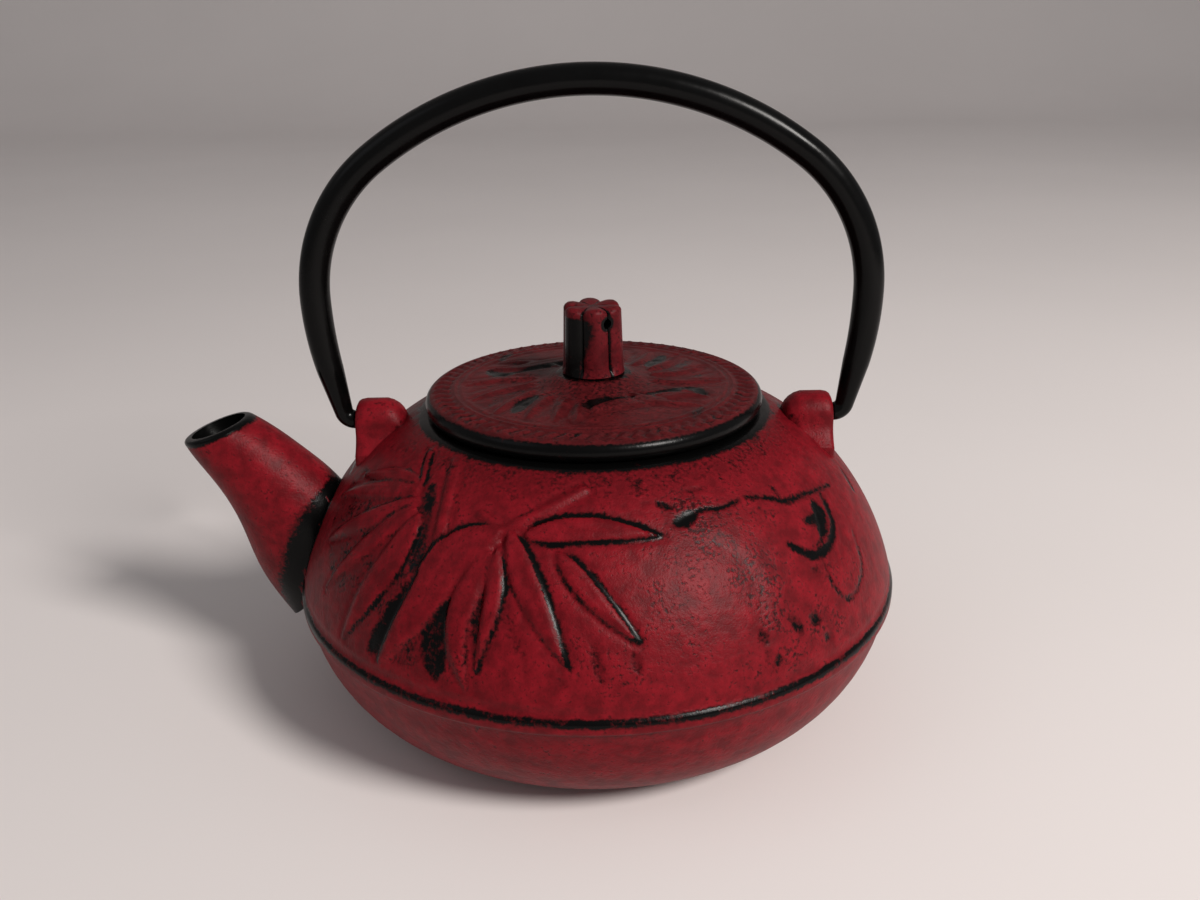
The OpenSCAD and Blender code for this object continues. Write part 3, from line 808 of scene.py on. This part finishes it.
# The sponge missed one flank, less of it towards the foot; this black on the left flank is also painted
# shade, on the side away from the key lamp.
from_left = (np.degrees(spoke) + 134 + 180) % 360 - 180
undabbed_and_shaded = np.exp(-((from_left / (20 + 28 * smooth(67, 74, shape[:, 2]))) ** 4)) * smooth(77, 76, shape[:, 2])
knob_ink_and_shade = np.maximum(0.8 * smooth(0.6, 0.25, lobe), undabbed_and_shaded)
knob_ink_and_shade = np.maximum(knob_ink_and_shade, smooth(1.9, 1.1, beside))
knob_ink_and_shade[shape[:, 2] < BOSS_Z + 0.02] = 1
write_attribute(knob, "ink_and_shade", knob_ink_and_shade)
write_attribute(knob, "worn", np.full(len(shape), 0.3))
dress(knob, sponged_enamel("knob_sponged_enamel", "#62131a", "#440b10"), "lid_with_knob", "red_iron", "knob")


# ---------------------------------------------------------------------------
# Bail: a forged round bar of soft steel, arched high, drawn down at its ends and
# hooked inwards into the ears. It has a smooth glossy black enamel.
# ---------------------------------------------------------------------------
BAR_R = 2.85
NECK_R = 2.55
END_R = 1.8
PIN_R = 1.5
CROWN = (0.0, 53.2, 65.5)
SIDE = (20.16, 80.0, 32.0)
LEG = (-17.84, 80.0, 70.0)
clear_selection()
bpy.ops.mesh.primitive_circle_add(
    vertices=40, radius=BAR_R * MM, fill_type="NOTHING", location=(0, 0, (CROWN[1] + CROWN[2]) * MM),
    rotation=(0, math.pi / 2, 0),
)
bail = take("bail_bar")
bpy.ops.object.mode_set(mode="EDIT")
bpy.ops.mesh.select_mode(type="VERT")
bpy.ops.mesh.select_all(action="SELECT")
for (x, z, _), degrees, steps in ((CROWN, 36.9, 30), (SIDE, 53.1, 30)):
    bpy.ops.mesh.spin(
        steps=steps, angle=math.radians(degrees), center=(x * MM, 0, z * MM), axis=(0, -1, 0),
    )
LEAN = math.radians(11.54)
LEG_R = 70.0
bar_r = BAR_R
for share in range(14):
    bpy.ops.mesh.spin(
        steps=1, angle=LEAN / 14, center=(LEG[0] * MM, 0, LEG[1] * MM), axis=(0, -1, 0),
    )
    turn = LEAN * (share + 1) / 14
    middle = (LEG[0] + LEG_R * math.cos(turn), 0, LEG[1] - LEG_R * math.sin(turn))
    after = BAR_R - (BAR_R - NECK_R) * ((share + 1) / 14) ** 2
    bpy.ops.transform.resize(value=(after / bar_r,) * 3, center_override=[v * MM for v in middle])
    bar_r = after
TAPER = 8.4
for share in range(6):
    step = TAPER / 6
    bpy.ops.mesh.extrude_region_move(
        TRANSFORM_OT_translate={"value": (-step * math.sin(LEAN) * MM, 0, -step * math.cos(LEAN) * MM)},
    )
    after = NECK_R - (NECK_R - END_R) * (share + 1) / 6
    middle = [middle[0] - step * math.sin(LEAN), 0, middle[2] - step * math.cos(LEAN)]
    bpy.ops.transform.resize(value=(after / bar_r,) * 3, center_override=[v * MM for v in middle])
    bar_r = after
HOOK = 2.2
bend = (46.89, PIVOT_Z + HOOK)
bpy.ops.mesh.spin(
    steps=8, angle=math.radians(78.46), center=(bend[0] * MM, 0, bend[1] * MM), axis=(0, -1, 0),
)
bpy.ops.mesh.extrude_region_move(TRANSFORM_OT_translate={"value": (-0.35 * MM, 0, 0)})
narrower = PIN_R / END_R
bpy.ops.transform.resize(
    value=(1, narrower, narrower), center_override=((bend[0] - 0.35) * MM, 0, PIVOT_Z * MM),
)
bpy.ops.mesh.extrude_region_move(TRANSFORM_OT_translate={"value": (-6.2 * MM, 0, 0)})
bpy.ops.mesh.extrude_region_move(TRANSFORM_OT_translate={"value": (-0.3 * MM, 0, 0)})
bpy.ops.transform.resize(value=(1, 0.8, 0.8), center_override=((bend[0] - 6.85) * MM, 0, PIVOT_Z * MM))
bpy.ops.mesh.edge_face_add()
bpy.ops.object.mode_set(mode="OBJECT")
finish_with(bail, "MIRROR", use_axis=(True, False, False), use_mirror_merge=True, merge_threshold=0.00002)
edit(bail)
bpy.ops.mesh.select_all(action="SELECT")
bpy.ops.mesh.remove_doubles(threshold=2e-6)
bpy.ops.mesh.normals_make_consistent(inside=False)
bpy.ops.object.mode_set(mode="OBJECT")


def gloss_black(name):
    """Black stoving enamel, dipped and baked: smooth and glossy, with a faint orange peel
    about 2 mm across that makes the long highlights waver a little."""
    material, tree, shader, coordinates = new_material(name)
    peel = add_node(
        tree, "TexNoise", {"Vector": coordinates, "Scale": 500, "Detail": 2, "Roughness": 0.5},
    ).outputs["Fac"]
    dust = add_node(
        tree, "TexNoise", {"Vector": coordinates, "Scale": 90, "Detail": 4, "Roughness": 0.6},
    ).outputs["Fac"]
    tree.links.new(
        add_node(tree, "MapRange", {0: dust, 1: 0.35, 2: 0.65, 3: 0.16, 4: 0.28}).outputs[0],
        shader.inputs["Roughness"],
    )
    tone = add_node(tree, "Mix", {0: dust, 6: paint("#030303"), 7: paint("#080808")}, data_type="RGBA")
    tree.links.new(tone.outputs[2], shader.inputs["Base Color"])
    bump = add_node(tree, "Bump", {"Strength": 0.25, "Distance": 0.00008, "Height": peel})
    tree.links.new(bump.outputs[0], shader.inputs["Normal"])
    shader.inputs["IOR"].default_value = 1.5
    shader.inputs["Specular IOR Level"].default_value = 0.12
    return material


dress(bail, gloss_black("bail_black_enamel"), "handle", "black_bar", "bail")


# ---------------------------------------------------------------------------
# Infuser: a collar pressed from stainless sheet hangs in the mouth and carries a
# basket of woven stainless wire, held below by a rolled band. The collar, the
# band and the knob's washer keep their frame shapes and get a satin steel finish.
# ---------------------------------------------------------------------------
def satin_steel(name, shade):
    """Stainless sheet with a satin finish: grey, fine lapping marks of 0.3 mm round the
    axis, and slightly uneven gloss from handling."""
    material, tree, shader, coordinates = new_material(name)
    marks = add_node(tree, "Mapping", {"Vector": coordinates, "Scale": (60, 60, 3300)}).outputs[0]
    grain = add_node(
        tree, "TexNoise", {"Vector": marks, "Scale": 1, "Detail": 3, "Roughness": 0.6},
    ).outputs["Fac"]
    smear = add_node(tree, "TexNoise", {"Vector": coordinates, "Scale": 120, "Detail": 3}).outputs["Fac"]
    tree.links.new(
        add_node(tree, "MapRange", {0: smear, 1: 0.35, 2: 0.65, 3: 0.24, 4: 0.4}).outputs[0],
        shader.inputs["Roughness"],
    )
    bump = add_node(tree, "Bump", {"Strength": 0.2, "Distance": 0.00004, "Height": grain})
    tree.links.new(bump.outputs[0], shader.inputs["Normal"])
    tone = add_node(tree, "Mix", {0: smear, 6: paint(shade), 7: paint("#d2d0cb")}, data_type="RGBA")
    tree.links.new(tone.outputs[2], shader.inputs["Base Color"])
    shader.inputs["Metallic"].default_value = 1
    return material


steel = satin_steel("satin_stainless", "#b4b2ae")
for node in ("infuser_collar", "infuser_band", "knob_washer"):
    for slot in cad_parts[node].material_slots:
        slot.material = steel

BASKET_R = 25.4
BASKET_H = 31.6
WIRE = 0.36
clear_selection()
bpy.ops.mesh.primitive_cylinder_add(
    vertices=160, radius=BASKET_R * MM, depth=BASKET_H * MM, end_fill_type="NOTHING",
    location=(0, 0, 41.4 * MM),
)
wall = take("basket_wall")
edit(wall)
bpy.ops.mesh.select_mode(type="EDGE")
pick(wall, "edges", lambda a, b: abs(a.z - b.z) > 1)
bpy.ops.mesh.subdivide_edgering(number_cuts=30)
bpy.ops.object.mode_set(mode="OBJECT")
clear_selection()
bpy.ops.mesh.primitive_grid_add(
    x_subdivisions=51, y_subdivisions=51, size=51 * MM, location=(0, 0, 25.5 * MM),
)
floor_mesh = take("basket_floor")
edit(floor_mesh)
pick(floor_mesh, "polygons", lambda place, normal: math.hypot(place.x, place.y) > 24.9)
bpy.ops.mesh.delete(type="FACE")
bpy.ops.object.mode_set(mode="OBJECT")
for piece in (wall, floor_mesh):
    finish_with(
        piece, "WIREFRAME", thickness=WIRE * MM, use_replace=True, use_boundary=True, use_even_offset=True,
    )
woven = satin_steel("woven_stainless_wire", "#8f8d88")
dress(wall, woven, "infuser", "steel_mesh", "infuser_wall")
dress(floor_mesh, woven, "infuser", "steel_mesh", "infuser_floor")


# ---------------------------------------------------------------------------
# Studio: a pale sheet that curves up behind, a soft lamp high at the right, a
# weaker one at the left, and even light all round.
# ---------------------------------------------------------------------------
clear_selection()
bpy.ops.mesh.primitive_plane_add(size=6, location=(0, -1.2, 0))
sheet = take("backdrop")
edit(sheet)
pick(sheet, "edges", lambda a, b: a.y > 1500 and b.y > 1500)
bpy.ops.mesh.extrude_region_move(TRANSFORM_OT_translate={"value": (0, 0, 3)})
pick(sheet, "edges", lambda a, b: a.y > 1500 and b.y > 1500 and abs(a.z) < 1 and abs(b.z) < 1)
bpy.ops.mesh.bevel(offset=0.6, segments=16, affect="EDGES")
bpy.ops.object.mode_set(mode="OBJECT")
bpy.ops.object.shade_smooth()
material, tree, shader, coordinates = new_material("pale_paper")
fibre = add_node(tree, "TexNoise", {"Vector": coordinates, "Scale": 4, "Detail": 3}).outputs["Fac"]
tone = add_node(tree, "Mix", {0: fibre, 6: paint("#dcd6d4"), 7: paint("#e6e0de")}, data_type="RGBA")
tree.links.new(tone.outputs[2], shader.inputs["Base Color"])
shader.inputs["Roughness"].default_value = 0.9
sheet.data.materials.append(material)


def lamp(name, place, aim, size, power, colour):
    data = bpy.data.lights.new(name, "AREA")
    data.shape = "DISK"
    data.size = size
    data.energy = power
    data.color = paint(colour)[:3]
    made = bpy.data.objects.new(name, data)
    bpy.context.scene.collection.objects.link(made)
    made.location = place
    made.rotation_euler = (Vector(aim) - Vector(place)).to_track_quat("-Z", "Y").to_euler()


lamp("key_lamp", (0.58, -0.56, 0.69), (0, 0, 0.05), 0.3, 11.0, "#fffaf6")
lamp("fill_lamp", (-0.9, -0.4, 0.9), (0, 0, 0.05), 0.7, 0.6, "#f2f5ff")
world = bpy.data.worlds.new("even_light")
bpy.context.scene.world = world
world.use_nodes = True
world.node_tree.nodes["Background"].inputs["Color"].default_value = paint("#f3f1f2")
world.node_tree.nodes["Background"].inputs["Strength"].default_value = 0.3

camera_data = bpy.data.cameras.new("camera")
camera = bpy.data.objects.new("camera", camera_data)
bpy.context.scene.collection.objects.link(camera)
camera_data.lens = 33
camera_data.sensor_width = 36
camera_data.clip_start = 0.01
camera.location = (0.001, -0.2036, 0.1288)
look = (Vector((0.001, 0, 0.0486)) - camera.location).to_track_quat("-Z", "Y")
camera.rotation_euler = look.to_euler()
camera.rotation_euler.rotate_axis("Z", math.radians(-1))
bpy.context.scene.camera = camera
bpy.context.scene.view_settings.view_transform = "Standard"
